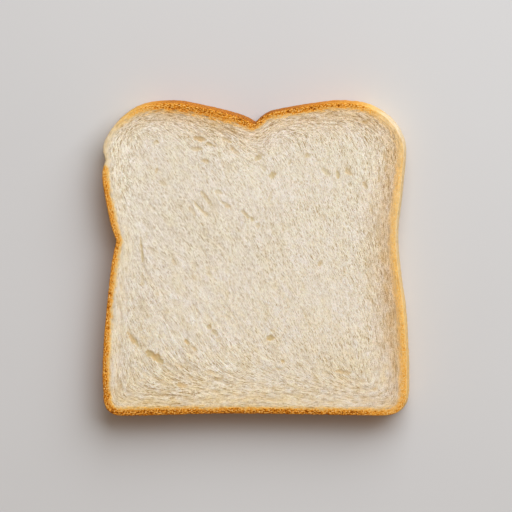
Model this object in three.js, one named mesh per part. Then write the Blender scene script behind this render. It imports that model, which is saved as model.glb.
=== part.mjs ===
// A slice of white sandwich bread, baked in a tin and cut from the loaf with a flat saw cut on each
// side. It lies on one cut face. Millimetres: +Z runs up through the thickness of the slice and +Y
// runs from the flat base of the loaf to its crown, which rose in two lobes with a cleft between
// them. The origin is under the middle of the slice, on the surface that it lies on.
import * as THREE from 'three';
import { mergeVertices } from 'three/addons/utils/BufferGeometryUtils.js';

// Driving dimensions.
const THICKNESS = 13;
const RIM_RADIUS = 0.5;
const RIM_STEPS = 3;
const OUTLINE_STEP = 2.1;
const WELD_TOLERANCE = 1e-4;

// The cut wasn't quite square to the loaf, so the lower cut face lies this far toward the crown and
// the right of the upper one, and the crust between them leans.
const LEAN = new THREE.Vector2(0.8, 1.2);

// Where the sides would meet the base if its corners were sharp, and how far each corner's curve
// reaches along the side and along the base.
const BASE_Y = -57.6;
const BASE_LEFT_X = -54.9;
const BASE_RIGHT_X = 55.3;
const LEFT_CORNER = 6;
const RIGHT_CORNER = 9;

// The upper cut face's outline, counter-clockwise seen from above, as smooth stretches. They meet
// sharply at the cleft, at the end of the torn pale strip on the left lobe, and at the left waist,
// where the crown rose over the tin's edge.
const CLEFT = [-0.7, 48.9];
const LEFT_LOBE = [
  [-6, 51.4], [-17, 54.4], [-30, 56.6], [-41.8, 55.1], [-50.6, 49.3], [-55.4, 41.5], [-54.8, 35.6],
];
const LEFT_SHOULDER = [[-55.9, 30.4], [-55.2, 23.5], [-53.2, 13.4], [-51, 6.3]];
const LEFT_SIDE = [[-52.8, -3], [-54.3, -16], [-55.5, -31], [-55.9, -44], [-55.6, BASE_Y + LEFT_CORNER]];
const BASE = [
  [-34, BASE_Y + 0.2], [-5.7, BASE_Y + 0.8], [26, BASE_Y + 0.3], [BASE_RIGHT_X - RIGHT_CORNER, BASE_Y],
];
const RIGHT_SIDE = [
  [55.2, -36], [54, -19], [52.1, -4], [51.3, 9], [52.6, 23], [54, 34], [53.9, 41.5], [51, 48],
];
const RIGHT_LOBE = [[45.6, 52.9], [38.5, 56], [29, 56.6], [17, 55.1], [5, 52.9], CLEFT];

function vectors(points) {
  return points.map(([x, y]) => new THREE.Vector2(x, y));
}

// The outline as a path: splines, with a curved corner at each end of the base.
function outlinePath() {
  const path = new THREE.Path();
  path.moveTo(...CLEFT);
  path.splineThru(vectors(LEFT_LOBE));
  path.splineThru(vectors(LEFT_SHOULDER));
  path.splineThru(vectors(LEFT_SIDE));
  path.quadraticCurveTo(BASE_LEFT_X, BASE_Y, BASE_LEFT_X + LEFT_CORNER, BASE_Y);
  path.splineThru(vectors(BASE));
  path.quadraticCurveTo(BASE_RIGHT_X, BASE_Y, BASE_RIGHT_X, BASE_Y + RIGHT_CORNER);
  path.splineThru(vectors([...RIGHT_SIDE, ...RIGHT_LOBE]));
  return path;
}

// Points along every curve of the path, a nearly even step apart, with the sharp joins kept.
function outlinePoints(path) {
  return path.curves.flatMap((curve) => {
    const count = Math.max(2, Math.round(curve.getLength() / OUTLINE_STEP));
    return curve.getSpacedPoints(count).slice(0, -1);
  });
}

// The outward direction at each point of a counter-clockwise outline.
function outwardNormals(points) {
  const count = points.length;
  return points.map((_, i) => {
    const before = points[(i + count - 1) % count];
    const after = points[(i + 1) % count];
    return new THREE.Vector2(after.y - before.y, before.x - after.x).normalize();
  });
}

// Heights and insets of the rings that make the crust wall, with a rounded edge at each cut face.
function wallLevels() {
  const lower = [];
  for (let step = 0; step <= RIM_STEPS; step++) {
    const angle = (step / RIM_STEPS) * (Math.PI / 2);
    lower.push({ height: RIM_RADIUS * (1 - Math.cos(angle)), inset: RIM_RADIUS * (1 - Math.sin(angle)) });
  }
  const upper = lower.map(({ height, inset }) => ({ height: THICKNESS - height, inset })).reverse();
  return [...lower, ...upper];
}

// One closed solid: rings of the outline joined by the crust wall, closed by the two cut faces.
function sliceGeometry() {
  const outline = outlinePoints(outlinePath());
  const normals = outwardNormals(outline);
  const levels = wallLevels();
  const count = outline.length;

  const positions = [];
  for (const { height, inset } of levels) {
    const lean = 1 - height / THICKNESS;
    outline.forEach((point, i) => {
      const x = point.x - normals[i].x * inset + LEAN.x * lean;
      const y = point.y - normals[i].y * inset + LEAN.y * lean;
      positions.push(x, y, height);
    });
  }

  const faces = [];
  for (let level = 0; level < levels.length - 1; level++) {
    for (let i = 0; i < count; i++) {
      const next = (i + 1) % count;
      const low = level * count;
      const high = low + count;
      faces.push(low + i, low + next, high + next);
      faces.push(low + i, high + next, high + i);
    }
  }
  const top = (levels.length - 1) * count;
  for (const [a, b, c] of THREE.ShapeUtils.triangulateShape(outline, [])) {
    faces.push(c, b, a);
    faces.push(top + a, top + b, top + c);
  }

  const geometry = new THREE.BufferGeometry();
  geometry.setAttribute('position', new THREE.Float32BufferAttribute(positions, 3));
  geometry.setIndex(faces);
  return geometry;
}

// Moves the geometry so that the middle of its box is over the origin.
function centreOverOrigin(geometry) {
  geometry.computeBoundingBox();
  const middle = geometry.boundingBox.getCenter(new THREE.Vector3());
  geometry.translate(-middle.x, -middle.y, 0);
  return geometry;
}

const bread = new THREE.MeshStandardMaterial({ color: 0xe8dbc3, roughness: 0.95, metalness: 0 });
const geometry = mergeVertices(centreOverOrigin(sliceGeometry()), WELD_TOLERANCE);
geometry.computeVertexNormals();

const slice = new THREE.Mesh(geometry, bread);
slice.name = 'bread_slice';

const group = new THREE.Group();
group.add(slice);

export default group;
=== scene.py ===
"""A slice of white tin-baked sandwich bread, lying on one cut face on a pale floor.

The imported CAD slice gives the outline, the thickness and the lean of the crust. From them this
script models both cut faces as real surfaces, with strands drawn out along the grain of the dough
and pores pressed into them, and the crust wall between them. Lengths are in millimetres for the
mesh, up to where Blender gets it, and for the materials' noise. On the stage they are in metres.
"""
import math

import bpy
import numpy as np
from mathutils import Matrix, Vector


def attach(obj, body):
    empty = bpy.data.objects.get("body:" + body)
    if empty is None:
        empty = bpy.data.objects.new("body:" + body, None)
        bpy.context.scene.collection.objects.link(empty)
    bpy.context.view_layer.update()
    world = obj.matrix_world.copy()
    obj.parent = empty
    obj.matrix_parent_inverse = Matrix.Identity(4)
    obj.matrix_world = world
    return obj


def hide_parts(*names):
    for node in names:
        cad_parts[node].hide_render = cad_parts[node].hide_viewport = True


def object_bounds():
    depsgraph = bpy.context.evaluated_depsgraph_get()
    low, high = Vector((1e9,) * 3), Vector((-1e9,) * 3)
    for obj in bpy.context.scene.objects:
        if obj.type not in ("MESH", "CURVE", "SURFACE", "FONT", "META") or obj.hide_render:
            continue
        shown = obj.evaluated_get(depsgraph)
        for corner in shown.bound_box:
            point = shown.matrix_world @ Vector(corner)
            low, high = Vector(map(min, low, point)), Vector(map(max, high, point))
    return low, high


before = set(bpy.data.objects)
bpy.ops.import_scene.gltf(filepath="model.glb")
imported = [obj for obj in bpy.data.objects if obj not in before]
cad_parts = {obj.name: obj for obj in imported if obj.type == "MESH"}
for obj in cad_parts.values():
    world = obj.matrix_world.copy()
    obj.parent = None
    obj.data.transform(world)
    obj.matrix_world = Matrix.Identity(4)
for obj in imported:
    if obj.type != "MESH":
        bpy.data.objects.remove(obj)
cad_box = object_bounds()

NODE = "bread_slice"
MM = 0.001
SEED = 11

# The mesh: the pitch of the upper cut face, which is half of the lower one's, the pitch of the crust
# wall's rows, the rows round each of its edges, and how many short sides smooth each side of the CAD
# outline.
FACE_STEP = 0.25
WALL_STEP = 0.34
RIM_ROWS = 3
SHORT_SIDES = 12

# The raster that the fields of the cut faces are worked out on: its cells, its margin round the
# slice, and how many times as wide the cells are that distances to the outline are found on.
CELL = 0.16
MARGIN = 2.0
COARSE = 5

# The dough's grain away from the crust, in degrees from +X, at the slice's left and right edges.
# Near the crust it runs along the crust instead, over about the reaches given. The crust's direction
# is smoothed first, so that it turns gently at the corners.
GRAIN_LEFT = -50
GRAIN_RIGHT = -74
GRAIN_REACH_SIDES = 8
GRAIN_REACH_BASE = 19
GRAIN_REACH_CROWN = 12
GRAIN_SMOOTHING = 2.0

# The crust round the rim: the direction from the slice's middle in degrees, the browning of its cut
# edge from 0 (crumb) to 1 (dark brown), the width of the brown band in millimetres, the tan of the
# crumb inside it, and the browning of the outer skin.
CRUST = (
    (0, 0.38, 2.4, 0.85, 0.26),
    (15, 0.34, 2.4, 0.80, 0.20),
    (32, 0.34, 2.4, 0.85, 0.24),
    (42, 0.20, 2.8, 0.70, 0.10),
    (48, 0.27, 2.6, 0.75, 0.15),
    (53, 0.52, 2.3, 0.85, 0.45),
    (58, 0.71, 2.0, 0.85, 0.68),
    (75, 0.74, 2.3, 0.70, 0.84),
    (89, 0.74, 2.0, 0.60, 0.90),
    (96, 0.74, 2.6, 0.75, 0.88),
    (106, 0.70, 3.1, 0.90, 0.84),
    (120, 0.70, 3.1, 0.95, 0.82),
    (129, 0.52, 2.3, 0.55, 0.52),
    (135, 0.29, 2.1, 0.30, 0.30),
    (138, 0.14, 2.0, 0.15, 0.14),
    (141, 0.09, 1.8, 0.05, 0.10),
    (148, 0.11, 1.5, 0.00, 0.14),
    (149, 0.54, 2.1, 0.00, 0.55),
    (154, 0.66, 2.4, 0.00, 0.66),
    (165, 0.66, 2.3, 0.00, 0.68),
    (180, 0.66, 2.1, 0.00, 0.70),
    (210, 0.68, 2.2, 0.00, 0.72),
    (226, 0.74, 2.5, 0.15, 0.80),
    (240, 0.75, 2.9, 0.10, 0.82),
    (255, 0.75, 2.3, 0.10, 0.82),
    (270, 0.75, 2.3, 0.10, 0.82),
    (302, 0.75, 2.3, 0.12, 0.82),
    (311, 0.58, 2.3, 0.60, 0.60),
    (316, 0.50, 2.3, 0.85, 0.35),
    (328, 0.43, 2.4, 1.00, 0.35),
    (345, 0.40, 2.4, 0.95, 0.30),
)

# The brown band fades over CRUST_FADE each side of its edge, and the strands and patches of the crumb
# make that edge uneven. The tan behind it sets in over one span of distances from the outline and is
# a sum of two parts, each with its strength and the span that it fades over.
CRUST_FADE = 1.3
EDGE_BY_TONE = 0.12
EDGE_BY_STRAND = -0.3
TAN_SETS_IN = (0.6, 3.2)
TAN_PARTS = ((0.5, 5, 8), (0.58, 6, 17))

# The crumb is browned a little toward the base, in two steps that lie between these distances below
# the slice's middle.
BASE_WARMTH = 0.02
WARMTH_STEPS = ((-15, 40), (38, 50))

# The outer skin is browned at least this much in its lower half, which sets in between these
# distances below the upper face, and on the right side it swells out by BULGE_RIGHT.
WALL_BROWNING = 0.36
WALL_BROWNING_SETS_IN = (6, 10)
BULGE_RIGHT = 0.5

# The layers of the crust wall's relief: how tall and how wide their cells are, and how high.
WALL_SWELL = (5.0, 4.0, 0.08)
WALL_WRINKLE = (0.9, 0.55, 0.025)
WALL_GRIT = (0.3, 0.28, 0.025)
WALL_PIT_DEPTH = 0.10

# The holes and creases that stand out on the upper face: x, y, half length, half width, direction in
# degrees, and how strongly each shows. Away from the crust, strength 1 would be HOLE_DEPTH deep.
HOLES = (
    (-38.4, -35.2, 2.1, 1.3, -25, 0.50),
    (-35.6, -36.8, 2.3, 1.3, -38, 0.55),
    (-32.0, -39.0, 1.5, 0.6, -30, 0.20),
    (-44.6, -30.0, 2.9, 0.9, -52, 0.40),
    (-25.0, -30.8, 1.3, 0.7, -42, 0.40),
    (-22.5, -33.0, 1.5, 0.7, -30, 0.30),
    (-17.0, -25.3, 1.0, 0.9, -45, 0.35),
    (-15.0, -27.4, 1.5, 0.9, -48, 0.30),
    (-13.3, -29.9, 1.2, 1.0, -20, 0.20),
    (-28.0, -39.3, 1.8, 0.6, -35, 0.20),
    (-27.0, -46.4, 2.2, 0.8, -12, 0.30),
    (-16.5, -41.8, 1.4, 0.8, -20, 0.25),
    (-13.0, -44.0, 1.6, 0.6, 2, 0.25),
    (-10.2, -21.6, 1.4, 0.7, -42, 0.20),
    (5.2, -29.3, 1.3, 1.1, 10, 0.45),
    (10.0, -37.8, 0.8, 0.5, -20, 0.40),
    (8.5, -40.6, 1.3, 0.6, -10, 0.25),
    (32.0, -41.8, 2.7, 0.7, -8, 0.30),
    (-20.4, 43.4, 2.1, 0.9, -12, 0.40),
    (-16.9, 41.5, 1.3, 0.7, -25, 0.40),
    (-21.6, 39.8, 2.0, 0.8, 2, 0.30),
    (-18.4, 35.3, 1.6, 0.7, -22, 0.30),
    (-7.6, 39.2, 1.9, 0.7, -35, 0.25),
    (-10.6, 43.0, 2.0, 0.6, -28, 0.30),
    (0.8, 36.6, 1.5, 1.0, 35, 0.32),
    (2.8, 33.0, 1.3, 1.0, -40, 0.20),
    (6.0, 30.3, 1.6, 1.1, 62, 0.40),
    (-13.4, 24.0, 1.6, 0.8, -15, 0.25),
    (-18.2, 22.0, 3.2, 0.8, -50, 0.28),
    (-20.3, 18.0, 3.4, 0.5, -48, 0.34),
    (-18.2, 16.0, 1.0, 0.8, -48, 0.26),
    (-23.2, 17.2, 2.2, 0.7, -58, 0.20),
    (-10.8, 19.4, 2.2, 0.6, -38, 0.28),
    (-3.6, 15.8, 2.4, 0.6, -45, 0.32),
    (-1.4, 14.2, 1.1, 0.7, -45, 0.34),
    (0.8, 12.0, 1.0, 0.9, -60, 0.26),
    (5.4, 22.6, 2.0, 0.6, 75, 0.20),
    (-34.0, 27.3, 1.6, 0.8, -25, 0.22),
    (-36.3, 42.2, 1.0, 0.8, 0, 0.30),
    (-36.2, 32.0, 1.2, 0.5, 85, 0.30),
    (12.4, 35.0, 1.2, 0.6, 70, 0.25),
    (18.9, 37.4, 1.1, 0.9, -50, 0.31),
    (25.6, 31.4, 1.8, 0.8, -50, 0.29),
    (30.0, 30.4, 1.6, 0.7, -82, 0.38),
    (33.8, 31.4, 1.9, 0.9, -56, 0.34),
    (39.9, 26.4, 1.7, 0.8, -62, 0.29),
    (39.8, 49.7, 1.5, 0.7, -5, 0.30),
    (47.0, 37.5, 2.1, 0.45, -86, 0.30),
    (47.6, 32.6, 1.6, 0.4, 84, 0.25),
    (45.0, 29.8, 2.2, 0.3, -88, 0.35),
    (42.0, 18.0, 2.4, 0.5, -78, 0.20),
    (-41.6, 2.6, 4.6, 0.5, -84, 0.35),
    (-41.4, -8.0, 2.3, 0.7, -88, 0.25),
    (-29.8, -1.5, 1.4, 0.6, -60, 0.20),
    (-22.6, -2.6, 1.2, 0.7, -50, 0.16),
    (-16.8, -6.0, 1.6, 0.8, -45, 0.16),
    (-22.6, -7.2, 1.6, 0.7, -45, 0.16),
    (23.6, -2.0, 1.3, 0.8, 60, 0.30),
)
HOLE_DEPTH = 0.55

# Pores at random places: how many are placed, and the ranges of their half length, half width and
# strength. The small ones lie on both faces, and the lower face has the large ones instead of HOLES.
SMALL_PORES = (1500, (0.4, 1.5), (0.25, 0.55), (0.03, 0.14))
LOWER_HOLES = (22, (1.0, 3.0), (0.5, 0.9), (0.4, 0.9))

# The layers of noise that the crumb's pattern is made of, drawn out along the grain: the length and
# the width of each one's streaks. The random draws follow this order.
STREAKS = {
    "fine": (1.2, 0.32),
    "short": (2.4, 0.4),
    "long": (7.0, 0.4),
    "middle": (8.0, 0.7),
    "crack": (12.0, 0.42),
    "fleck": (2.2, 0.4),
    "broad": (8.0, 2.0),
    "hue": (2.4, 1.1),
}

# Two more layers aren't drawn out: a ragged one for the edges of pores and the grit of the crust, and
# broad waves.
RAGGED_SIZE = 1.6 * CELL
WAVE_SIZE = 6.0

# Where the crumb is unlike the rest. Its outer part ends over this span of distances from the
# outline. The pale strip, inside crust that has no tan behind it, and the layers under the crown lie
# at a distance from the outline, with a reach each way, and the layers set in over a span of y. The
# open crumb at the lower left and the creases left of the middle are patches: x, y and the reach
# along x and y.
OUTER_ENDS = (6, 24)
PALE_STRIP = (4.8, 1.8)
LAYERED_STRIP = (5, 5)
LAYERED_SETS_IN = (5, 40)
OPEN_CORNER = (-28, -32, 34, 26)
CREASED = (-14, 18, 16, 10)

# How strongly each part of the crumb's pattern shows: everywhere, and how much more in each zone.
# Rimward is the outer part, at half strength where the crumb beside the crust isn't tan.
STRENGTHS = {
    "strands": {"everywhere": 0.50, "rimward": 0.24, "layered": 0.50, "open_corner": 0.14},
    "folds": {
        "everywhere": 0.30, "rimward": 0.10, "layered": 0.40, "open_corner": 0.60, "creased": 0.60,
    },
    "cracks": {"everywhere": 0.20, "outer": 1.60, "open_corner": 1.20, "creased": 0.80},
    "flecks": {"everywhere": 0.30, "rimward": 1.10, "layered": 2.00},
    "loose": {"everywhere": 0.70, "rimward": 0.60, "layered": 0.90, "open_corner": 0.30},
}

# The share of long strands: everywhere, and how much more in the outer part and the open corner.
LONG_SHARE = 0.15
LONG_SHARE_OUTSIDE = 0.4

# Next to the crust the crumb is pressed smooth. Its relief and its gaps set in over these distances
# from the outline.
RELIEF_SETS_IN = (1.0, 5.0)
GAPS_SET_IN = (1.5, 3.5)

# How high or deep one unit of each part of the relief is.
FINE_HEIGHT = 0.01
NET_HEIGHT = 0.025
MIDDLE_HEIGHT = 0.03
BROAD_HEIGHT = 0.015
WAVE_HEIGHT = 0.03
GRIT_HEIGHT = 0.05
PIT_DEPTH = 0.10
GAP_DEPTH = 0.035

# The bake map's layout, in shares of its width: the left, the low edge and the width of each cut
# face's part, and the crust wall's four strips, one above another.
BAKE_MAP = "OFBake"
UPPER_PART = (0.005, 0.005, 0.62)
LOWER_PART = (0.635, 0.005, 0.31)
STRIP_LEFT = 0.005
STRIP_LOW = 0.655
STRIP_PITCH = 0.085
STRIP_HEIGHT = 0.077


# ---- outline ---------------------------------------------------------------------------------

def cad_outline():
    """The CAD slice's outline at its upper cut face, its thickness, edge radius and lean."""
    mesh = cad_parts[NODE].data
    points = np.empty(len(mesh.vertices) * 3)
    mesh.vertices.foreach_get("co", points)
    points = np.unique(np.round(points.reshape(-1, 3) / MM, 3), axis=0)
    heights = np.unique(points[:, 2])
    thickness = heights[-1]
    high = heights[heights > thickness / 2][0]
    low = heights[heights < thickness / 2][-1]
    upper = points[points[:, 2] == high][:, :2]
    lower = points[points[:, 2] == low][:, :2]
    upper = upper[np.argsort(np.arctan2(upper[:, 1], upper[:, 0]))]
    lean = (lower.max(0) - upper.max(0)) / (high - low) * thickness
    # The wall's straight part starts one edge radius above the lower face.
    return upper, thickness, low, lean


def smooth_loop(points):
    """A closed Catmull-Rom curve through the points, as many short sides."""
    before, after, beyond = (np.roll(points, shift, axis=0)[:, None] for shift in (1, -1, -2))
    here = points[:, None]
    t = (np.arange(SHORT_SIDES) / SHORT_SIDES)[None, :, None]
    curve = 0.5 * (
        2 * here
        + (after - before) * t
        + (2 * before - 5 * here + 4 * after - beyond) * t ** 2
        + (3 * here - before - 3 * after + beyond) * t ** 3
    )
    return curve.reshape(-1, 2)


def outward(loop, reach):
    """The outward direction at each point of an anticlockwise loop, from neighbours reach away."""
    along = np.roll(loop, -reach, axis=0) - np.roll(loop, reach, axis=0)
    out = np.stack([along[:, 1], -along[:, 0]], axis=1)
    return out / np.linalg.norm(out, axis=1, keepdims=True)


def spaced(line, count):
    """count + 1 points an even distance apart along an open line."""
    run = np.concatenate([[0], np.cumsum(np.linalg.norm(np.diff(line, axis=0), axis=1))])
    places = np.linspace(0, run[-1], count + 1)
    return np.stack([np.interp(places, run, line[:, axis]) for axis in (0, 1)], axis=1)


def four_sides(loop):
    """The loop cut at its four corners into base, right side, crown and left side."""
    corners = [int(np.argmax(loop @ np.array(way))) for way in ((-1, -1), (1, -1), (1, 1), (-1, 1))]
    sides = []
    for start, end in zip(corners, corners[1:] + corners[:1]):
        stop = end if end > start else end + len(loop)
        sides.append(loop[np.arange(start, stop + 1) % len(loop)])
    return sides


# ---- fields on the raster --------------------------------------------------------------------

def normal(field):
    """The field with mean 0 and spread 1."""
    return (field - field.mean()) / field.std()


def blurred(field, sigma):
    """The field smoothed by a Gaussian of sigma cells, or of a pair of rows and columns.

    It wraps round at the edges.
    """
    rows, columns = np.broadcast_to(sigma, 2)
    across = np.fft.fftfreq(field.shape[0])[:, None] * rows
    along = np.fft.rfftfreq(field.shape[1])[None, :] * columns
    keep = np.exp(-2 * math.pi ** 2 * (across ** 2 + along ** 2))
    return np.fft.irfft2(np.fft.rfft2(field) * keep, s=field.shape)


def ramp(value, low, high):
    """0 below low, 1 above high and a smooth step between."""
    t = np.clip((value - low) / (high - low), 0, 1)
    return t * t * (3 - 2 * t)


class Raster:
    """A raster of square cells over the slice, and how to read a field on it anywhere."""

    def __init__(self, loop, cell):
        self.cell = cell
        self.low = loop.min(0) - MARGIN
        span = loop.max(0) + MARGIN - self.low
        self.shape = tuple(int(n) for n in np.ceil(span / cell)[::-1] + 1)
        rows, columns = np.mgrid[0:self.shape[0], 0:self.shape[1]]
        self.x = self.low[0] + columns * cell
        self.y = self.low[1] + rows * cell

    def read(self, field, x, y):
        """The field at any places, between the four cells round each."""
        column = np.clip((x - self.low[0]) / self.cell, 0, self.shape[1] - 1.001)
        row = np.clip((y - self.low[1]) / self.cell, 0, self.shape[0] - 1.001)
        left = column.astype(int)
        below = row.astype(int)
        s = column - left
        t = row - below
        lower = field[below, left] * (1 - s) + field[below, left + 1] * s
        upper = field[below + 1, left] * (1 - s) + field[below + 1, left + 1] * s
        return lower * (1 - t) + upper * t


def inside_distance(raster, loop):
    """The distance from each place of the raster to the outline, worked out on a coarser raster."""
    coarse = Raster(loop, raster.cell * COARSE)
    distance = np.full(coarse.shape, np.inf)
    # Every third point of the loop still lies closer to the next than a coarse cell is wide.
    for x, y in loop[::3]:
        distance = np.minimum(distance, (coarse.x - x) ** 2 + (coarse.y - y) ** 2)
    return coarse.read(np.sqrt(distance), raster.x, raster.y)


def crust_levels(x, y):
    """The crust's browning, width, tan and skin in the direction of each place, from CRUST."""
    angle = np.degrees(np.arctan2(y, x)) % 360
    stops = np.array(CRUST)
    return [np.interp(angle, stops[:, 0], stops[:, i], period=360) for i in (1, 2, 3, 4)]


def strip(distance, middle, reach):
    """A soft strip along the outline, at a distance from it and with a reach each way."""
    return np.exp(-((distance - middle) / reach) ** 2)


def patch(raster, x, y, reach_x, reach_y):
    """A soft oval patch of the face."""
    return np.exp(-((raster.x - x) / reach_x) ** 2 - ((raster.y - y) / reach_y) ** 2)


def pale_band(tan, distance):
    """Where the crumb is pressed pale and smooth, just inside the crust that has no tan behind it."""
    return np.clip(1 - 1.4 * tan, 0, 1) * strip(distance, *PALE_STRIP)


def grain(raster, distance):
    """The direction that the dough is drawn out in, as an angle."""
    rise, run = np.gradient(blurred(distance, GRAIN_SMOOTHING / CELL))
    along_crust = np.arctan2(run, -rise)
    span = np.ptp(raster.x)
    share = (raster.x - raster.x.min()) / span
    open_crumb = np.radians(GRAIN_LEFT + (GRAIN_RIGHT - GRAIN_LEFT) * share)
    upright = raster.y / np.hypot(raster.x, raster.y).clip(1)
    reach = np.where(upright < 0, GRAIN_REACH_BASE, GRAIN_REACH_CROWN) * upright ** 2
    reach += GRAIN_REACH_SIDES * (1 - upright ** 2)
    hold = np.exp(-(distance / reach) ** 2)
    double_x = hold * np.cos(2 * along_crust) + (1 - hold) * np.cos(2 * open_crumb)
    double_y = hold * np.sin(2 * along_crust) + (1 - hold) * np.sin(2 * open_crumb)
    # The angle lies between -135 and 45 degrees, so that it jumps only where no grain runs that way.
    return 0.5 * np.arctan2(double_x, -double_y) - math.pi / 4


def streaks(rng, raster, angle, length, width):
    """Noise in cells of the given width, drawn out along the grain over the given length."""
    noise = normal(blurred(rng.standard_normal(raster.shape), width / CELL / 2))
    steps = max(2, math.ceil(length / width))
    total = np.zeros(raster.shape)
    for place in np.linspace(-1, 1, 2 * steps + 1):
        shift = place * length / 2
        weight = 1 - place ** 2 * 0.8
        x = raster.x + shift * np.cos(angle)
        y = raster.y + shift * np.sin(angle)
        total += weight * raster.read(noise, x, y)
    return normal(total)


def press_pore(depth, pore_shade, raster, ragged, x, y, length, width, angle, strong):
    """Presses one long pore with ragged edges into the depth field, and marks painted shade in its
    hollow.
    """
    reach = int(length * 1.5 / CELL) + 2
    column = int((x - raster.low[0]) / CELL)
    row = int((y - raster.low[1]) / CELL)
    if not (reach < column < raster.shape[1] - reach and reach < row < raster.shape[0] - reach):
        return
    window = np.s_[row - reach:row + reach, column - reach:column + reach]
    dx = raster.x[window] - x
    dy = raster.y[window] - y
    along = (dx * math.cos(angle) + dy * math.sin(angle)) / length
    across = (dy * math.cos(angle) - dx * math.sin(angle)) / width
    # From 0 in the pore's middle to 1 on its outline.
    edge = np.hypot(along, across) + 0.12 * ragged[window]
    depth[window] = np.maximum(depth[window], HOLE_DEPTH * strong * ramp(-edge, -1.25, -0.4))
    pore_shade[window] = np.maximum(pore_shade[window], min(1, 2.1 * strong) * ramp(-edge, -1.25, -0.8))


def random_pores(rng, raster, angle, count, length, width, strong):
    """Seeded pores along the grain, a few large and most small, in the ranges given."""
    low = raster.low + MARGIN
    high = -low  # The slice's middle is at 0.
    for _ in range(count):
        x, y = rng.uniform(low, high)
        size = rng.random() ** 2.5
        row = int((y - raster.low[1]) / CELL)
        column = int((x - raster.low[0]) / CELL)
        turn = angle[row, column] + rng.normal(0, 0.25)
        long = length[0] + (length[1] - length[0]) * size
        wide = width[0] + (width[1] - width[0]) * size * rng.uniform(0.6, 1)
        yield x, y, long, wide, turn, strong[0] + (strong[1] - strong[0]) * rng.random()


def crumb_zones(raster, distance, tan):
    """How far each place belongs to each zone of the crumb, from 0 to 1."""
    outer = 1 - ramp(distance, *OUTER_ENDS)
    return {
        "everywhere": 1.0,
        "outer": outer,
        "rimward": outer * (0.5 + 0.5 * tan),
        "layered": strip(distance, *LAYERED_STRIP) * ramp(raster.y, *LAYERED_SETS_IN),
        "open_corner": patch(raster, *OPEN_CORNER),
        "creased": patch(raster, *CREASED),
    }


def pattern_strengths(zones):
    """How strongly each part of the crumb's pattern shows at each place, from STRENGTHS."""
    return {
        part: sum(weight * zones[zone] for zone, weight in weights.items())
        for part, weights in STRENGTHS.items()
    }


def cut_face(rng, raster, distance, angle, holes):
    """One cut face: its height above the cut plane, and what the crumb's colour follows."""
    layers = {name: streaks(rng, raster, angle, *size) for name, size in STREAKS.items()}
    ragged = normal(blurred(rng.standard_normal(raster.shape), RAGGED_SIZE / CELL))
    waves = normal(blurred(rng.standard_normal(raster.shape), WAVE_SIZE / CELL))

    depth = np.zeros(raster.shape)
    pore_shade = np.zeros(raster.shape)
    small = random_pores(rng, raster, angle, *SMALL_PORES)
    for pore in (*small, *holes):
        press_pore(depth, pore_shade, raster, ragged, *pore)

    brown, width, tan, _ = crust_levels(raster.x, raster.y)
    zones = crumb_zones(raster, distance, tan)
    strength = pattern_strengths(zones)
    unpressed = 1 - 0.5 * pale_band(tan, distance)
    relief_share = ramp(distance, *RELIEF_SETS_IN) * unpressed
    gap_share = ramp(distance, *GAPS_SET_IN) * unpressed

    # The strands are a net of ridges that run where the noise is near 0. 0.8 is the mean of such noise
    # without its sign, so the net's own mean is 0.
    drawn = LONG_SHARE + LONG_SHARE_OUTSIDE * np.maximum(zones["outer"], zones["open_corner"])
    mixed = layers["short"] * np.sqrt(1 - drawn) + layers["long"] * np.sqrt(drawn)
    net = 0.8 - np.abs(mixed)
    gaps = ramp(layers["crack"], 0.8, 1.9) * strength["cracks"]
    gaps += ramp(layers["fleck"], 0.8, 1.7) * strength["flecks"]
    gaps *= gap_share
    folds = strength["folds"] + 0.05 * waves

    # The cut crust has grit and small pits, the more so the browner it is.
    in_crust = 1 - ramp(distance, width * 0.6, width * 1.4)
    gritty = in_crust * (0.3 + 0.7 * ramp(brown, 0.3, 0.8))
    pits = ramp(-ragged, 0.6, 2.2)

    fine_relief = FINE_HEIGHT * layers["fine"] + NET_HEIGHT * net
    broad_relief = MIDDLE_HEIGHT * layers["middle"] + BROAD_HEIGHT * layers["broad"]
    height = fine_relief * (0.6 + 0.4 * relief_share) * strength["strands"]
    height += broad_relief * relief_share * folds + WAVE_HEIGHT * waves
    height += (GRIT_HEIGHT * ragged - PIT_DEPTH * pits) * gritty - GAP_DEPTH * gaps
    depth *= 0.25 + 0.75 * relief_share
    # The strand value follows the relief, lighter on raised strands and folds and darker in the
    # pressed-in gaps: partly the crumb's own light and dark, partly painted shade.
    strand = (0.35 * layers["fine"] + 1.3 * net) * strength["strands"]
    strand += (0.6 * layers["middle"] + 0.15 * layers["broad"]) * folds - gaps
    return {
        "height": height - depth,
        "strand": np.clip(strand, -4, 2),
        # Painted shade in the pressed pores and in the crust's pits.
        "pore": np.clip(pore_shade + 0.8 * pits * gritty, 0, 1),
        "tone": 0.4 * waves + 0.3 * layers["broad"] + 0.7 * layers["hue"],
        "loose": strength["loose"] * (0.2 + 0.8 * gap_share),
        "grain_x": np.cos(angle) * (1 + drawn),
        "grain_y": np.sin(angle) * (1 + drawn),
    }


# ---- mesh ------------------------------------------------------------------------------------

# What each point of the mesh carries for the material: the crust's browning, the tan behind it, how
# light its strand is, partly painted shade that follows the relief, how much painted shade it takes
# in a pore or pit, how warm it is, how much its finest noise shows, whether it is on the outer
# skin, and the grain's direction, longer where the strands are longer.
CARRIED = ("brown", "haze", "strand", "pore", "tone", "loose", "skin", "grain_x", "grain_y")


def coons_grid(sides, across, along):
    """Places over the area inside four sides, as rows from the base to the crown."""
    base = spaced(sides[0], across)[None]
    right = spaced(sides[1], along)[:, None]
    crown = spaced(sides[2], across)[::-1][None]
    left = spaced(sides[3], along)[::-1][:, None]
    u = np.linspace(0, 1, across + 1)[None, :, None]
    v = np.linspace(0, 1, along + 1)[:, None, None]
    corners = (1 - u) * (1 - v) * base[:, :1] + u * (1 - v) * base[:, -1:]
    corners = corners + (1 - u) * v * crown[:, :1] + u * v * crown[:, -1:]
    return (1 - v) * base + v * crown + (1 - u) * left + u * right - corners


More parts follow.
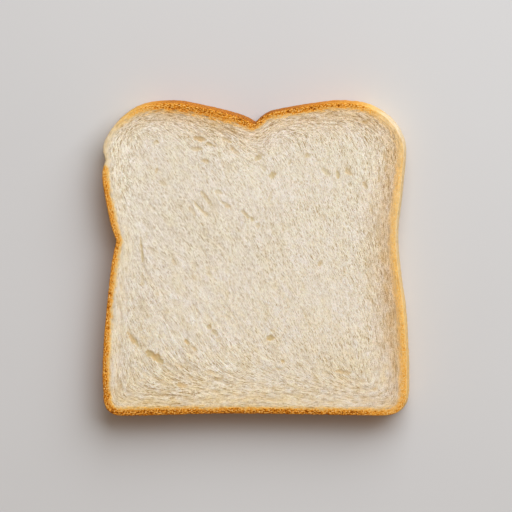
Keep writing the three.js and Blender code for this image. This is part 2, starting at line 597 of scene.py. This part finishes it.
def border(grid_rows, grid_columns):
    """The places in a flattened grid of its border, anticlockwise from its first corner."""
    index = np.arange(grid_rows * grid_columns).reshape(grid_rows, grid_columns)
    return np.concatenate([index[0, :-1], index[:-1, -1], index[-1, :0:-1], index[:0:-1, 0]])


def bulge(out, height, thickness):
    """How far the crust wall swells out between the faces, in millimetres."""
    return BULGE_RIGHT * out[:, 0].clip(0) * math.sin(math.pi * height / thickness)


def wall_rows(thickness, edge):
    """Height, inset from the outline and uprightness of each row of the crust wall, from the top."""
    turns = np.arange(1, RIM_ROWS + 1) / RIM_ROWS * math.pi / 2
    rounded = [(edge * (1 - math.cos(t)), edge * (1 - math.sin(t)), math.sin(t)) for t in turns]
    count = round((thickness - 2 * edge) / WALL_STEP)
    straight = [(edge + (thickness - 2 * edge) * i / count, 0.0, 1.0) for i in range(1, count)]
    rows = [(thickness - fall, inset, upright) for fall, inset, upright in rounded + straight]
    return rows + rounded[::-1]


def wall_relief(rng, shape):
    """The crust wall's relief in millimetres, its shade, its grit and its pits."""
    layers = []
    relief = 0.0
    for tall, wide, high in (WALL_SWELL, WALL_WRINKLE, WALL_GRIT):
        size = (tall / WALL_STEP, wide / FACE_STEP)
        layers.append(normal(blurred(rng.standard_normal(shape), size)))
        relief = relief + high * layers[-1]
    swell, wrinkle, grit = layers
    pits = ramp(-wrinkle, 1.1, 2.4)
    return relief - WALL_PIT_DEPTH * pits, 0.5 * swell + 0.3 * wrinkle, grit, pits


def grid_quads(first, rows, columns, flip):
    """The corners of a grid's quads, whose points start at index first."""
    index = first + np.arange(rows * columns).reshape(rows, columns)
    corners = [index[:-1, :-1], index[:-1, 1:], index[1:, 1:], index[1:, :-1]]
    quads = np.stack([c.ravel() for c in corners], axis=1)
    return quads[:, ::-1] if flip else quads


def ring_quads(upper, lower):
    """Quads between two rings of point indices of one length, facing out."""
    return np.stack([upper, lower, np.roll(lower, -1), np.roll(upper, -1)], axis=1)


def ring_steps(fine, coarse):
    """Triangles from a fine ring down to a coarse ring with half as many points, facing out."""
    even = fine[0::2]
    odd = fine[1::2]
    beyond = np.roll(even, -1)
    ahead = np.roll(coarse, -1)
    return np.concatenate([
        np.stack([even, coarse, odd], axis=1),
        np.stack([odd, coarse, ahead], axis=1),
        np.stack([odd, ahead, beyond], axis=1),
    ])


def face_places(grid, left, low, width, mirrored=False):
    """Where each point of a cut face lies on the bake map, seen from above or mirrored from below."""
    place = (grid - grid.min((0, 1))) * width / np.ptp(grid[..., 0])
    across = width - place[..., 0] if mirrored else place[..., 0]
    return np.stack([left + across, low + place[..., 1]], axis=-1).reshape(-1, 2)


class WallMap:
    """Where the crust wall lies on the bake map: a strip for each of its four sides."""

    def __init__(self, side_columns, rows):
        self.ends = np.cumsum(side_columns)
        self.lengths = np.array(side_columns)
        self.rows = rows

    def at(self, column, step, row):
        """The place at a row, some steps past the start of each of the columns."""
        side = np.searchsorted(self.ends, column, side="right")
        along = (column + step - self.ends[side]) / self.lengths[side] + 1
        high = STRIP_LOW + STRIP_PITCH * side + STRIP_HEIGHT * (1 - row / self.rows)
        return np.stack([STRIP_LEFT + (1 - 2 * STRIP_LEFT) * along, high], axis=1)

    def quads(self, row):
        """The places of ring_quads' corners under a row."""
        column = np.arange(self.ends[-1])
        corners = ((0, row), (0, row + 1), (1, row + 1), (1, row))
        return np.stack([self.at(column, step, at_row) for step, at_row in corners], axis=1)

    def steps(self, row):
        """The places of ring_steps' corners under a row."""
        column = np.arange(0, self.ends[-1], 2)
        even, odd, beyond = (self.at(column, step, row) for step in (0, 1, 2))
        coarse, ahead = (self.at(column, step, row + 1) for step in (0, 2))
        triangles = ((even, coarse, odd), (odd, coarse, ahead), (odd, ahead, beyond))
        return np.concatenate([np.stack(corners, axis=1) for corners in triangles])


class Bread:
    """Collects the slice's points, what they carry, and the faces between them."""

    def __init__(self):
        self.points = []
        self.carried = {name: [] for name in CARRIED}
        self.faces = []
        self.places = []
        self.count = 0

    def add(self, points, **carried):
        """Adds points and the values they carry, and returns the index of the first."""
        first = self.count
        flat = points.reshape(-1, 3)
        self.points.append(flat)
        for name in CARRIED:
            value = np.broadcast_to(carried.get(name, 0.0), points.shape[:-1])
            self.carried[name].append(value.ravel())
        self.count += len(flat)
        return first

    def add_faces(self, corners, places):
        """Adds faces of one size: the indices of their points and where they lie on the bake map."""
        self.faces.append(corners)
        self.places.append(places)


def face_points(raster, fields, distance, grid, shift, plane, facing):
    """The points of one cut face, raised by its height field, and what they carry."""
    x = grid[..., 0]
    y = grid[..., 1]
    at = {name: raster.read(field, x, y) for name, field in fields.items()}
    from_rim = raster.read(distance, x, y)
    brown, width, tan, _ = crust_levels(x, y)
    pale = pale_band(tan, from_rim)
    uneven = from_rim + EDGE_BY_TONE * at["tone"] + EDGE_BY_STRAND * at["strand"]
    browned = brown * (1 - ramp(uneven, width - CRUST_FADE, width + CRUST_FADE))
    warmed = sum(ramp(-y, *step) for step in WARMTH_STEPS)
    browned += BASE_WARMTH * warmed * (1 + 0.5 * at["tone"]) + 0.05 * pale
    tanned = ramp(from_rim, *TAN_SETS_IN)
    tanned *= sum(strong * (1 - ramp(from_rim, low, high)) for strong, low, high in TAN_PARTS)
    points = np.stack([x + shift[0], y + shift[1], plane + facing * at["height"]], axis=-1)
    carried = {
        "brown": browned.clip(0),
        "haze": tan * tanned * (1 + 0.1 * at["tone"]) - 0.2 * pale,
        "strand": at["strand"] + 0.2 * pale,
        "pore": at["pore"],
        "tone": at["tone"],
        "loose": at["loose"],
        "grain_x": at["grain_x"],
        "grain_y": at["grain_y"],
    }
    return points, carried


def add_wall(bread, rng, rim, carried, lift, thickness, edge, lean):
    """Adds the crust wall's rows of points under the upper face's rim, and returns their indices."""
    rows = wall_rows(thickness, edge)
    relief, shade, grit, pits = wall_relief(rng, (len(rows), len(rim)))
    out = outward(rim, 3)
    brown, _, _, wall_brown = crust_levels(*rim.T)
    rings = []
    for row, (height, inset, upright) in enumerate(rows):
        swell = bulge(out, height, thickness) + upright * relief[row]
        place = rim + out * (edge - inset + swell)[:, None]
        place = place + lean * (1 - height / thickness)
        # The upper face's relief runs out over its rounded edge.
        level = height + lift * (1 - upright) * (height > thickness / 2)
        skin = ramp(upright, 0.3, 1.0)
        least = WALL_BROWNING * ramp(thickness - height, *WALL_BROWNING_SETS_IN)
        # On the skin the strand value follows the grit of the wall's relief, and the pits darken: both
        # are painted shade.
        first = bread.add(
            np.column_stack([place, np.broadcast_to(level, len(rim))]),
            brown=brown + (np.maximum(wall_brown, least) - brown) * skin,
            strand=(1 - skin) * carried["strand"] + skin * grit[row] * 0.6,
            pore=0.4 * pits[row],
            tone=shade[row],
            skin=skin,
            grain_x=-out[:, 1],
            grain_y=out[:, 0],
        )
        rings.append(first + np.arange(len(rim)))
    return rings


def bread_mesh():
    """The whole slice, collected as one closed mesh."""
    rng = np.random.default_rng(SEED)
    outline, thickness, edge, lean = cad_outline()
    loop = smooth_loop(outline)
    inner = loop - edge * outward(loop, 4)
    raster = Raster(loop, CELL)
    distance = inside_distance(raster, loop)
    angle = grain(raster, distance)

    placed = [(x, y, long, wide, math.radians(turn), strong) for x, y, long, wide, turn, strong in HOLES]
    upper = cut_face(rng, raster, distance, angle, placed)
    scattered = list(random_pores(rng, raster, angle, *LOWER_HOLES))
    lower = cut_face(rng, raster, distance, angle, scattered)

    sides = four_sides(inner)
    span = inner.max(0) - inner.min(0)
    across, along = (2 * round(length / FACE_STEP / 2) for length in span)
    bread = Bread()

    fine = coons_grid(sides, across, along)
    points, carried = face_points(raster, upper, distance, fine, (0, 0), thickness, 1)
    first_upper = bread.add(points, **carried)
    rim_places = border(*fine.shape[:2])
    rim = fine.reshape(-1, 2)[rim_places]
    rim_carried = {name: value.ravel()[rim_places] for name, value in carried.items()}
    rim_lift = points[..., 2].ravel()[rim_places] - thickness
    rings = [first_upper + rim_places]
    rings += add_wall(bread, rng, rim, rim_carried, rim_lift, thickness, edge, lean)

    # The lower face rests on the floor, so only its hollows are modelled.
    coarse = coons_grid(sides, across // 2, along // 2)
    points, carried = face_points(raster, lower, distance, coarse, lean, 0, -1)
    points[..., 2] = np.maximum(points[..., 2], 0)
    first_lower = bread.add(points, **carried)
    bottom_ring = first_lower + border(*coarse.shape[:2])

    quads = grid_quads(first_upper, *fine.shape[:2], flip=False)
    bread.add_faces(quads, face_places(fine, *UPPER_PART)[quads - first_upper])
    wall_map = WallMap([across, along, across, along], len(rings))
    for row, (above, below) in enumerate(zip(rings, rings[1:])):
        bread.add_faces(ring_quads(above, below), wall_map.quads(row))
    bread.add_faces(ring_steps(rings[-1], bottom_ring), wall_map.steps(len(rings) - 1))
    quads = grid_quads(first_lower, *coarse.shape[:2], flip=True)
    bread.add_faces(quads, face_places(coarse, *LOWER_PART, mirrored=True)[quads - first_lower])
    return bread


def make_bread():
    """The slice as a Blender object, with the values that its material reads on its points."""
    bread = bread_mesh()
    points = np.concatenate(bread.points) * MM
    corners = np.concatenate([faces.ravel() for faces in bread.faces])
    sizes = np.concatenate([np.full(len(faces), faces.shape[1]) for faces in bread.faces])
    places = np.concatenate([place.ravel() for place in bread.places])
    mesh = bpy.data.meshes.new("bread")
    mesh.vertices.add(len(points))
    mesh.vertices.foreach_set("co", points.ravel())
    mesh.loops.add(len(corners))
    mesh.loops.foreach_set("vertex_index", corners.astype(np.int32))
    mesh.polygons.add(len(sizes))
    mesh.polygons.foreach_set("loop_start", (np.cumsum(sizes) - sizes).astype(np.int32))
    mesh.update(calc_edges=True)
    mesh.shade_smooth()
    mesh.uv_layers.new(name=BAKE_MAP).uv.foreach_set("vector", places.astype(np.float32))
    for name, parts in bread.carried.items():
        layer = mesh.attributes.new(name, "FLOAT", "POINT")
        layer.data.foreach_set("value", np.concatenate(parts).astype(np.float32))
    slice_object = bpy.data.objects.new("bread", mesh)
    bpy.context.collection.objects.link(slice_object)
    return slice_object


# ---- material --------------------------------------------------------------------------------

def srgb(red, green, blue):
    """A colour given as screen values of 0 to 255, as the linear colour that a shader takes."""
    def linear(value):
        share = value / 255
        return share / 12.92 if share <= 0.04045 else ((share + 0.055) / 1.055) ** 2.4
    return linear(red), linear(green), linear(blue), 1.0


# The crumb's mean colour, its colours between and along the strands, the darker, yellower painted
# shade in its pores and pits, and what its cool and warm patches are multiplied by.
CRUMB = (223, 209, 186)
CRUMB_DARK = (170, 145, 106)
CRUMB_LIGHT = (255, 250, 238)
PORE_SHADE_COLOURS = ((199, 177, 130), (204, 173, 122))
COOL = (1.0, 0.985, 1.0, 1)
WARM = (0.99, 0.968, 0.89, 1)

# The crust's colours by its browning, and what the crumb behind it is multiplied by.
BROWNING = (
    (0.00, CRUMB),
    (0.12, (226, 200, 158)),
    (0.26, (226, 190, 132)),
    (0.44, (234, 182, 98)),
    (0.58, (226, 160, 68)),
    (0.70, (216, 140, 38)),
    (0.80, (200, 118, 14)),
    (0.90, (172, 94, 5)),
    (1.00, (126, 66, 3)),
)
TAN = (0.85, 0.70, 0.53, 1)

# The material's noise. The strands between the modelled ones, the scorched streaks and the bump are
# drawn out along the grain, so each has a size and a length. The specks and warm patches have a size.
BETWEEN_NOISE = (0.34, 0.95)
SCORCH_NOISE = (0.36, 0.3)
BUMP_NOISE = (0.36, 0.5)
SPECK_SIZE = 0.42
BLOTCH_SIZE = 9

# How light the crumb is from CRUMB_DARK to CRUMB_LIGHT: on average, and what one unit of a modelled
# strand, partly painted shade that follows the relief, and of the noise between them adds.
# BETWEEN_MEAN is that noise's mean without its sign.
MEAN_LIGHT = 0.59
STRAND_LIGHT = 0.095
BETWEEN_LIGHT = -4.75
BETWEEN_MEAN = 0.069

# How strongly streaks and specks break up the crust's browning, and the power of the browning that
# this follows.
SCORCHED = 2.5
SCORCHED_POWER = 1.6

# How deep the bump is, and how far light spreads inside the crumb.
BUMP_DEPTH = 0.2
GLOW_DEPTH = 1.2


class Nodes:
    """Adds shader nodes to one material."""

    def __init__(self, material):
        material.use_nodes = True
        self.tree = material.node_tree
        self.tree.nodes.clear()

    def add(self, kind, inputs=(), **settings):
        """A new node, with each input linked to a socket or set to a value."""
        node = self.tree.nodes.new("ShaderNode" + kind)
        for name, value in settings.items():
            setattr(node, name, value)
        for name, value in dict(inputs).items():
            if isinstance(value, bpy.types.NodeSocket):
                self.tree.links.new(value, node.inputs[name])
            else:
                node.inputs[name].default_value = value
        return node

    def value(self, name):
        """The value that the mesh's points carry under a name."""
        return self.add("Attribute", attribute_name=name).outputs["Fac"]

    def math(self, operation, a, b=0.0, c=0.0, clamp=False):
        """One calculation on up to three numbers."""
        return self.add("Math", {0: a, 1: b, 2: c}, operation=operation, use_clamp=clamp).outputs[0]

    def noise(self, place, size, detail=2.0):
        """Noise with features of about the given size in millimetres, from 0 to 1."""
        inputs = {"Vector": place, "Scale": 1 / (size * MM), "Detail": detail}
        return self.add("TexNoise", inputs).outputs["Fac"]

    def drawn_noise(self, place, along, size, length):
        """Noise drawn out over a length in millimetres.

        It is the mean of five samples along the grain, spread to twice the contrast.
        """
        total = 0.0
        for step in (-1.0, -0.5, 0.0, 0.5, 1.0):
            shift = (step * length * MM / 2,) * 3
            inputs = {0: along, 1: shift, 2: place}
            spot = self.add("VectorMath", inputs, operation="MULTIPLY_ADD").outputs["Vector"]
            total = self.math("ADD", total, self.noise(spot, size, detail=1.0))
        return self.math("MULTIPLY_ADD", total, 0.4, -0.5)

    def mix(self, share, a, b, blend="MIX", clamp=True):
        """Two colours blended, from a at share 0 to the full blend with b at 1."""
        inputs = {0: share, 6: a, 7: b}
        node = self.add("Mix", inputs, data_type="RGBA", blend_type=blend, clamp_factor=clamp)
        return node.outputs[2]

    def step(self, value, low, high):
        """0 below low, 1 above high and a smooth step between."""
        inputs = {"Value": value, "From Min": low, "From Max": high}
        return self.add("MapRange", inputs, interpolation_type="SMOOTHSTEP").outputs["Result"]


def bread_material():
    """Crumb and crust in one material, steered by the values on the mesh's points."""
    material = bpy.data.materials.new("bread")
    nodes = Nodes(material)
    place = nodes.add("TexCoord").outputs["Object"]
    carried = (nodes.value(name) for name in CARRIED)
    brown, haze, strand, pore, tone, loose, skin, grain_x, grain_y = carried
    along = nodes.add("CombineXYZ", {"X": grain_x, "Y": grain_y}).outputs["Vector"]
    between = nodes.math("SUBTRACT", nodes.drawn_noise(place, along, *BETWEEN_NOISE), 0.5)
    between = nodes.math("SUBTRACT", nodes.math("ABSOLUTE", between), BETWEEN_MEAN)
    scorch = nodes.math("SUBTRACT", nodes.drawn_noise(place, along, *SCORCH_NOISE), 0.5)
    speck = nodes.math("SUBTRACT", nodes.noise(place, SPECK_SIZE, detail=1), 0.5)
    blotch = nodes.math("SUBTRACT", nodes.noise(place, BLOTCH_SIZE), 0.5)

    # Crumb: light along the thin strands and darker between them, the modelled part partly painted
    # shade that follows the relief, and a darker, olive painted shade in the deep pores and pits.
    light = nodes.math("MULTIPLY_ADD", strand, STRAND_LIGHT, MEAN_LIGHT)
    between = nodes.math("MULTIPLY", between, loose)
    light = nodes.math("MULTIPLY_ADD", between, BETWEEN_LIGHT, light, clamp=True)
    crumb = nodes.mix(light, srgb(*CRUMB_DARK), srgb(*CRUMB_LIGHT))
    warm = nodes.math("MULTIPLY_ADD", tone, 0.24, 0.5)
    warm = nodes.math("MULTIPLY_ADD", blotch, 1.2, warm, clamp=True)
    crumb = nodes.mix(1.0, crumb, nodes.mix(warm, COOL, WARM), "MULTIPLY")
    # Pores and pits take a darker, yellower colour: painted shade in the hollows.
    shaded_hollow = nodes.mix(nodes.step(tone, -0.6, 1.2), *(srgb(*colour) for colour in PORE_SHADE_COLOURS))
    crumb = nodes.mix(nodes.math("MULTIPLY", pore, 0.92, clamp=True), crumb, shaded_hollow)

    # Crust: the browning, broken up by scorched streaks and specks and darkened by painted shade in its
    # own pores and pits, the more so the browner it is. The crumb's light and dark, partly painted
    # shade, shows through it, and next to it the crumb is tan.
    uneven = nodes.math("MULTIPLY_ADD", scorch, 0.6, speck)
    uneven = nodes.math("MULTIPLY", nodes.math("MULTIPLY_ADD", skin, -0.7, 1.0), uneven)
    darker = nodes.math("POWER", brown, SCORCHED_POWER)
    baked = nodes.math("MULTIPLY_ADD", nodes.math("MULTIPLY", uneven, darker), SCORCHED, brown)
    baked = nodes.math("MULTIPLY_ADD", nodes.math("MULTIPLY", pore, brown), 0.25, baked, clamp=True)
    ramp_node = nodes.add("ValToRGB", {"Fac": baked})
    stops = ramp_node.color_ramp.elements
    while len(stops) < len(BROWNING):
        stops.new(0.5)
    for stop, (position, colour) in zip(stops, BROWNING):
        stop.position = position
        stop.color = srgb(*colour)
    shading = nodes.mix(1.0, crumb, srgb(*CRUMB), "DIVIDE")
    colour = nodes.mix(1.0, ramp_node.outputs["Color"], shading, "MULTIPLY")
    colour = nodes.mix(haze, colour, nodes.mix(1.0, colour, TAN, "MULTIPLY"), clamp=False)

    grain_bump = nodes.add("Bump", {
        "Height": nodes.drawn_noise(place, along, *BUMP_NOISE),
        "Strength": 0.4,
        "Distance": BUMP_DEPTH * MM,
    })
    sheen = nodes.math("MULTIPLY", skin, nodes.step(brown, 0.2, 0.7))
    rough = nodes.math("MULTIPLY_ADD", sheen, -0.2, 0.92)
    rough = nodes.math("MULTIPLY_ADD", speck, 0.12, rough)
    surface = nodes.add("BsdfPrincipled", {
        "Base Color": colour,
        "Roughness": rough,
        "Normal": grain_bump.outputs["Normal"],
        "Subsurface Weight": 0.15,
        "Subsurface Radius": (1.0, 0.7, 0.4),
        "Subsurface Scale": GLOW_DEPTH * MM,
        "Specular IOR Level": 0.15,
    })
    nodes.add("OutputMaterial", {"Surface": surface.outputs["BSDF"]})
    return material


# ---- stage -----------------------------------------------------------------------------------

# The camera: its height above the slice, the width that it sees there, how far it sees, how far the
# middle of its view lies from the slice's, and its sensor, which Blender takes in millimetres.
CAMERA_HEIGHT = 4.0
VIEW_WIDTH = 0.1869
VIEW_END = 20
VIEW_SHIFT = (0.0001, 0.00066)
SENSOR = 36.0

# The floor's noise has its size in millimetres, as the bread's has.
FLOOR_SIZE = 3.0
FLOOR_COLOUR = (206, 204, 203)
FLOOR_BLOTCH = 60

# A soft cool light from the upper right casts the shadow, and warm light from all round fills it.
KEY_PLACE = (0.417, 0.722, 0.863)
KEY_SIZE = 1.32
KEY_POWER = 22
KEY_COLOUR = (0.88, 0.94, 1.0)
FILL_COLOUR = (1.0, 0.81, 0.63)
FILL_STRENGTH = 0.298


def floor_material():
    """A plain pale surface with faint, broad patches."""
    material = bpy.data.materials.new("floor")
    nodes = Nodes(material)
    place = nodes.add("TexCoord").outputs["Object"]
    light = srgb(*FLOOR_COLOUR)
    dark = (*(0.97 * part for part in light[:3]), 1.0)
    cloudy = nodes.mix(nodes.noise(place, FLOOR_BLOTCH), light, dark)
    surface = nodes.add("BsdfPrincipled", {"Base Color": cloudy, "Roughness": 0.6})
    nodes.add("OutputMaterial", {"Surface": surface.outputs["BSDF"]})
    return material


def add_floor():
    """The level floor that the slice lies on."""
    mesh = bpy.data.meshes.new("floor")
    half = FLOOR_SIZE / 2
    corners = [(-half, -half, 0), (half, -half, 0), (half, half, 0), (-half, half, 0)]
    mesh.from_pydata(corners, [], [(0, 1, 2, 3)])
    mesh.materials.append(floor_material())
    floor = bpy.data.objects.new("floor", mesh)
    bpy.context.collection.objects.link(floor)


def add_key_light():
    """A square soft light that faces the slice."""
    lamp = bpy.data.lights.new("key", "AREA")
    lamp.size = KEY_SIZE
    lamp.energy = KEY_POWER
    lamp.color = KEY_COLOUR
    light = bpy.data.objects.new("key", lamp)
    light.location = KEY_PLACE
    light.rotation_euler = (-Vector(KEY_PLACE)).to_track_quat("-Z", "Y").to_euler()
    bpy.context.collection.objects.link(light)


def add_fill_light():
    """The same light from everywhere."""
    world = bpy.data.worlds.new("soft light")
    world.use_nodes = True
    background = world.node_tree.nodes["Background"]
    background.inputs["Color"].default_value = (*FILL_COLOUR, 1)
    background.inputs["Strength"].default_value = FILL_STRENGTH
    bpy.context.scene.world = world


def add_camera(low, high):
    """A long lens straight above the slice, which sits a little below the middle of the view."""
    data = bpy.data.cameras.new("camera")
    data.sensor_width = SENSOR
    data.lens = SENSOR * CAMERA_HEIGHT / VIEW_WIDTH
    data.clip_end = VIEW_END
    camera = bpy.data.objects.new("camera", data)
    middle = (low + high) / 2
    shift_x, shift_y = VIEW_SHIFT
    camera.location = (middle.x + shift_x, middle.y + shift_y, high.z + CAMERA_HEIGHT)
    bpy.context.collection.objects.link(camera)
    bpy.context.scene.camera = camera


bread = make_bread()
bread.data.materials.append(bread_material())
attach(bread, "root")
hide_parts(NODE)

add_floor()
add_key_light()
add_fill_light()
add_camera(*cad_box)
bpy.context.scene.view_settings.view_transform = "Standard"
